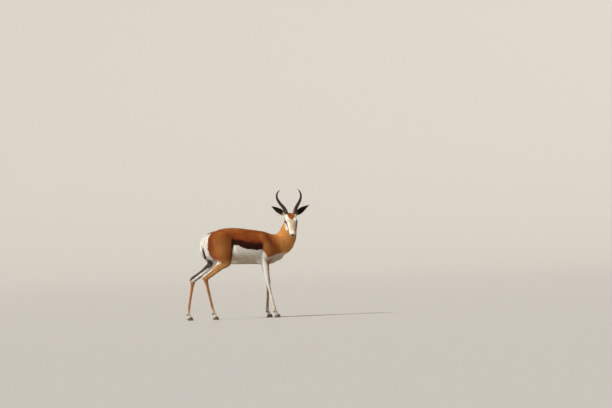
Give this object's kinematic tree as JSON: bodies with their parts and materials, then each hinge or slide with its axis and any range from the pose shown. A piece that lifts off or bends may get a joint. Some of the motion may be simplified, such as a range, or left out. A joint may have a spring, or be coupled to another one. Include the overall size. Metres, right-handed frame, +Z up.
{
  "type": "springbok",
  "caption": "Life-size standing springbok ram with its head turned to look back over its shoulder, lyre-shaped ringed horns, cinnamon back, dark flank band and white belly.",
  "frame": {"origin": "on the floor under the middle of the whole model's box, at the level of the hooves' soles", "axes": "+X the way the animal's body faces, +Y its left side, +Z up"},
  "size_m": [1.1462, 0.338, 1.1492],
  "materials": {
    "coat": "short smooth fur, cinnamon above and white below",
    "white_coat": "longer white fur",
    "ear_coat": "very short fur over thin skin",
    "horn": "satin black horn with rings",
    "eye": "wet and glossy",
    "hoof": "satin black hoof"
  },
  "bodies": {
    "root": {"ear_left": "ear_coat", "ear_right": "ear_coat", "eye_left": "eye", "eye_right": "eye", "foreleg_left_cannon": "coat", "foreleg_left_dewclaw_left": "hoof", "foreleg_left_dewclaw_right": "hoof", "foreleg_left_forearm": "coat", "foreleg_left_hoof_left": "hoof", "foreleg_left_hoof_right": "hoof", "foreleg_left_pastern": "coat", "foreleg_right_cannon": "coat", "foreleg_right_dewclaw_left": "hoof", "foreleg_right_dewclaw_right": "hoof", "foreleg_right_forearm": "coat", "foreleg_right_hoof_left": "hoof", "foreleg_right_hoof_right": "hoof", "foreleg_right_pastern": "coat", "head": "coat", "hindleg_left_cannon": "coat", "hindleg_left_dewclaw_left": "hoof", "hindleg_left_dewclaw_right": "hoof", "hindleg_left_hoof_left": "hoof", "hindleg_left_hoof_right": "hoof", "hindleg_left_pastern": "coat", "hindleg_left_shank": "coat", "hindleg_left_thigh": "coat", "hindleg_right_cannon": "coat", "hindleg_right_dewclaw_left": "hoof", "hindleg_right_dewclaw_right": "hoof", "hindleg_right_hoof_left": "hoof", "hindleg_right_hoof_right": "hoof", "hindleg_right_pastern": "coat", "hindleg_right_shank": "coat", "hindleg_right_thigh": "coat", "horn_left": "horn", "horn_right": "horn", "neck": "coat", "tail": "white_coat", "trunk": "coat"}
  },
  "joints": []
}
